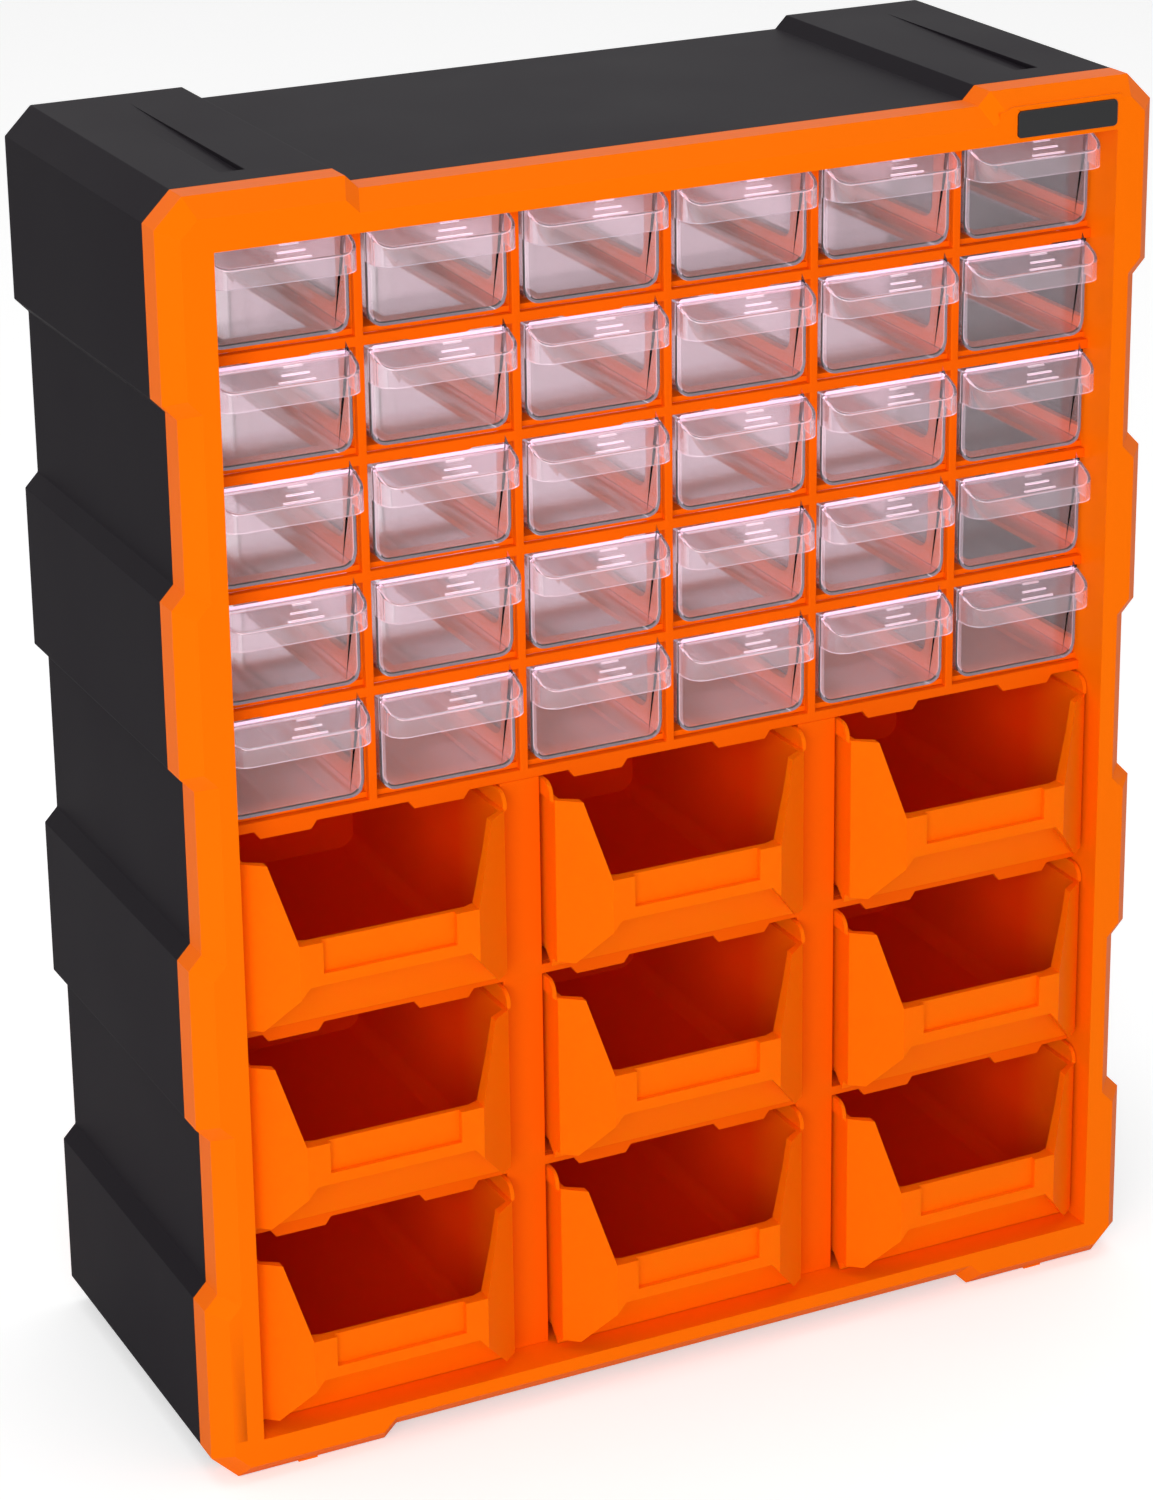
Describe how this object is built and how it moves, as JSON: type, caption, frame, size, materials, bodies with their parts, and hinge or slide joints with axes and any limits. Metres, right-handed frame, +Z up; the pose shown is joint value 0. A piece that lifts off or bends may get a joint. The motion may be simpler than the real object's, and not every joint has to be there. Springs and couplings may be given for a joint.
{
  "type": "parts bin cabinet",
  "caption": "Moulded parts cabinet with a black housing, an orange front frame, clear pull-out drawers above and open-front orange bins below, free-standing, stackable or wall-hung.",
  "frame": {"origin": "middle of the footprint on the surface that the cabinet stands on, level with the lowest stacking ribs", "axes": "+Z up, front towards -Y (drawers and bins pull out along -Y), +X to the right as seen from the front"},
  "size_m": [0.38, 0.16, 0.472],
  "materials": {
    "housing_black": "fine-grained matte black moulded plastic",
    "frame_orange": "satin orange moulded plastic",
    "rack_orange": "satin orange moulded plastic",
    "bin_orange": "satin orange moulded plastic",
    "drawer_clear": "clear moulded plastic with a very slight pink tint",
    "badge_black": "smooth satin black plate, left bare"
  },
  "bodies": {
    "cabinet": {"housing": "housing_black", "front_frame": "frame_orange", "drawer_grid": "frame_orange", "bin_grid": "frame_orange", "badge_plate": "badge_black", "drawer_rack_r1": "rack_orange", "drawer_rack_r2": "rack_orange", "drawer_rack_r3": "rack_orange", "drawer_rack_r4": "rack_orange", "drawer_rack_r5": "rack_orange", "bin_rack_r1": "rack_orange", "bin_rack_r2": "rack_orange", "bin_rack_r3": "rack_orange"},
    "drawer_r1c1_body": {"drawer_r1c1": "drawer_clear"},
    "drawer_r1c2_body": {"drawer_r1c2": "drawer_clear"},
    "drawer_r1c3_body": {"drawer_r1c3": "drawer_clear"},
    "drawer_r1c4_body": {"drawer_r1c4": "drawer_clear"},
    "drawer_r1c5_body": {"drawer_r1c5": "drawer_clear"},
    "drawer_r1c6_body": {"drawer_r1c6": "drawer_clear"},
    "drawer_r2c1_body": {"drawer_r2c1": "drawer_clear"},
    "drawer_r2c2_body": {"drawer_r2c2": "drawer_clear"},
    "drawer_r2c3_body": {"drawer_r2c3": "drawer_clear"},
    "drawer_r2c4_body": {"drawer_r2c4": "drawer_clear"},
    "drawer_r2c5_body": {"drawer_r2c5": "drawer_clear"},
    "drawer_r2c6_body": {"drawer_r2c6": "drawer_clear"},
    "drawer_r3c1_body": {"drawer_r3c1": "drawer_clear"},
    "drawer_r3c2_body": {"drawer_r3c2": "drawer_clear"},
    "drawer_r3c3_body": {"drawer_r3c3": "drawer_clear"},
    "drawer_r3c4_body": {"drawer_r3c4": "drawer_clear"},
    "drawer_r3c5_body": {"drawer_r3c5": "drawer_clear"},
    "drawer_r3c6_body": {"drawer_r3c6": "drawer_clear"},
    "drawer_r4c1_body": {"drawer_r4c1": "drawer_clear"},
    "drawer_r4c2_body": {"drawer_r4c2": "drawer_clear"},
    "drawer_r4c3_body": {"drawer_r4c3": "drawer_clear"},
    "drawer_r4c4_body": {"drawer_r4c4": "drawer_clear"},
    "drawer_r4c5_body": {"drawer_r4c5": "drawer_clear"},
    "drawer_r4c6_body": {"drawer_r4c6": "drawer_clear"},
    "drawer_r5c1_body": {"drawer_r5c1": "drawer_clear"},
    "drawer_r5c2_body": {"drawer_r5c2": "drawer_clear"},
    "drawer_r5c3_body": {"drawer_r5c3": "drawer_clear"},
    "drawer_r5c4_body": {"drawer_r5c4": "drawer_clear"},
    "drawer_r5c5_body": {"drawer_r5c5": "drawer_clear"},
    "drawer_r5c6_body": {"drawer_r5c6": "drawer_clear"},
    "bin_r1c1_body": {"bin_r1c1": "bin_orange"},
    "bin_r1c2_body": {"bin_r1c2": "bin_orange"},
    "bin_r1c3_body": {"bin_r1c3": "bin_orange"},
    "bin_r2c1_body": {"bin_r2c1": "bin_orange"},
    "bin_r2c2_body": {"bin_r2c2": "bin_orange"},
    "bin_r2c3_body": {"bin_r2c3": "bin_orange"},
    "bin_r3c1_body": {"bin_r3c1": "bin_orange"},
    "bin_r3c2_body": {"bin_r3c2": "bin_orange"},
    "bin_r3c3_body": {"bin_r3c3": "bin_orange"}
  },
  "joints": [
    {"name": "drawer_r1c1_slide", "type": "slide", "parent": "cabinet", "child": "drawer_r1c1_body", "axis": [0, -1, 0], "range_m": [0, 0.12]},
    {"name": "drawer_r1c2_slide", "type": "slide", "parent": "cabinet", "child": "drawer_r1c2_body", "axis": [0, -1, 0], "range_m": [0, 0.12]},
    {"name": "drawer_r1c3_slide", "type": "slide", "parent": "cabinet", "child": "drawer_r1c3_body", "axis": [0, -1, 0], "range_m": [0, 0.12]},
    {"name": "drawer_r1c4_slide", "type": "slide", "parent": "cabinet", "child": "drawer_r1c4_body", "axis": [0, -1, 0], "range_m": [0, 0.12]},
    {"name": "drawer_r1c5_slide", "type": "slide", "parent": "cabinet", "child": "drawer_r1c5_body", "axis": [0, -1, 0], "range_m": [0, 0.12]},
    {"name": "drawer_r1c6_slide", "type": "slide", "parent": "cabinet", "child": "drawer_r1c6_body", "axis": [0, -1, 0], "range_m": [0, 0.12]},
    {"name": "drawer_r2c1_slide", "type": "slide", "parent": "cabinet", "child": "drawer_r2c1_body", "axis": [0, -1, 0], "range_m": [0, 0.12]},
    {"name": "drawer_r2c2_slide", "type": "slide", "parent": "cabinet", "child": "drawer_r2c2_body", "axis": [0, -1, 0], "range_m": [0, 0.12]},
    {"name": "drawer_r2c3_slide", "type": "slide", "parent": "cabinet", "child": "drawer_r2c3_body", "axis": [0, -1, 0], "range_m": [0, 0.12]},
    {"name": "drawer_r2c4_slide", "type": "slide", "parent": "cabinet", "child": "drawer_r2c4_body", "axis": [0, -1, 0], "range_m": [0, 0.12]},
    {"name": "drawer_r2c5_slide", "type": "slide", "parent": "cabinet", "child": "drawer_r2c5_body", "axis": [0, -1, 0], "range_m": [0, 0.12]},
    {"name": "drawer_r2c6_slide", "type": "slide", "parent": "cabinet", "child": "drawer_r2c6_body", "axis": [0, -1, 0], "range_m": [0, 0.12]},
    {"name": "drawer_r3c1_slide", "type": "slide", "parent": "cabinet", "child": "drawer_r3c1_body", "axis": [0, -1, 0], "range_m": [0, 0.12]},
    {"name": "drawer_r3c2_slide", "type": "slide", "parent": "cabinet", "child": "drawer_r3c2_body", "axis": [0, -1, 0], "range_m": [0, 0.12]},
    {"name": "drawer_r3c3_slide", "type": "slide", "parent": "cabinet", "child": "drawer_r3c3_body", "axis": [0, -1, 0], "range_m": [0, 0.12]},
    {"name": "drawer_r3c4_slide", "type": "slide", "parent": "cabinet", "child": "drawer_r3c4_body", "axis": [0, -1, 0], "range_m": [0, 0.12]},
    {"name": "drawer_r3c5_slide", "type": "slide", "parent": "cabinet", "child": "drawer_r3c5_body", "axis": [0, -1, 0], "range_m": [0, 0.12]},
    {"name": "drawer_r3c6_slide", "type": "slide", "parent": "cabinet", "child": "drawer_r3c6_body", "axis": [0, -1, 0], "range_m": [0, 0.12]},
    {"name": "drawer_r4c1_slide", "type": "slide", "parent": "cabinet", "child": "drawer_r4c1_body", "axis": [0, -1, 0], "range_m": [0, 0.12]},
    {"name": "drawer_r4c2_slide", "type": "slide", "parent": "cabinet", "child": "drawer_r4c2_body", "axis": [0, -1, 0], "range_m": [0, 0.12]},
    {"name": "drawer_r4c3_slide", "type": "slide", "parent": "cabinet", "child": "drawer_r4c3_body", "axis": [0, -1, 0], "range_m": [0, 0.12]},
    {"name": "drawer_r4c4_slide", "type": "slide", "parent": "cabinet", "child": "drawer_r4c4_body", "axis": [0, -1, 0], "range_m": [0, 0.12]},
    {"name": "drawer_r4c5_slide", "type": "slide", "parent": "cabinet", "child": "drawer_r4c5_body", "axis": [0, -1, 0], "range_m": [0, 0.12]},
    {"name": "drawer_r4c6_slide", "type": "slide", "parent": "cabinet", "child": "drawer_r4c6_body", "axis": [0, -1, 0], "range_m": [0, 0.12]},
    {"name": "drawer_r5c1_slide", "type": "slide", "parent": "cabinet", "child": "drawer_r5c1_body", "axis": [0, -1, 0], "range_m": [0, 0.12]},
    {"name": "drawer_r5c2_slide", "type": "slide", "parent": "cabinet", "child": "drawer_r5c2_body", "axis": [0, -1, 0], "range_m": [0, 0.12]},
    {"name": "drawer_r5c3_slide", "type": "slide", "parent": "cabinet", "child": "drawer_r5c3_body", "axis": [0, -1, 0], "range_m": [0, 0.12]},
    {"name": "drawer_r5c4_slide", "type": "slide", "parent": "cabinet", "child": "drawer_r5c4_body", "axis": [0, -1, 0], "range_m": [0, 0.12]},
    {"name": "drawer_r5c5_slide", "type": "slide", "parent": "cabinet", "child": "drawer_r5c5_body", "axis": [0, -1, 0], "range_m": [0, 0.12]},
    {"name": "drawer_r5c6_slide", "type": "slide", "parent": "cabinet", "child": "drawer_r5c6_body", "axis": [0, -1, 0], "range_m": [0, 0.12]},
    {"name": "bin_r1c1_slide", "type": "slide", "parent": "cabinet", "child": "bin_r1c1_body", "axis": [0, -1, 0], "range_m": [0, 0.12]},
    {"name": "bin_r1c2_slide", "type": "slide", "parent": "cabinet", "child": "bin_r1c2_body", "axis": [0, -1, 0], "range_m": [0, 0.12]},
    {"name": "bin_r1c3_slide", "type": "slide", "parent": "cabinet", "child": "bin_r1c3_body", "axis": [0, -1, 0], "range_m": [0, 0.12]},
    {"name": "bin_r2c1_slide", "type": "slide", "parent": "cabinet", "child": "bin_r2c1_body", "axis": [0, -1, 0], "range_m": [0, 0.12]},
    {"name": "bin_r2c2_slide", "type": "slide", "parent": "cabinet", "child": "bin_r2c2_body", "axis": [0, -1, 0], "range_m": [0, 0.12]},
    {"name": "bin_r2c3_slide", "type": "slide", "parent": "cabinet", "child": "bin_r2c3_body", "axis": [0, -1, 0], "range_m": [0, 0.12]},
    {"name": "bin_r3c1_slide", "type": "slide", "parent": "cabinet", "child": "bin_r3c1_body", "axis": [0, -1, 0], "range_m": [0, 0.12]},
    {"name": "bin_r3c2_slide", "type": "slide", "parent": "cabinet", "child": "bin_r3c2_body", "axis": [0, -1, 0], "range_m": [0, 0.12]},
    {"name": "bin_r3c3_slide", "type": "slide", "parent": "cabinet", "child": "bin_r3c3_body", "axis": [0, -1, 0], "range_m": [0, 0.12]}
  ]
}
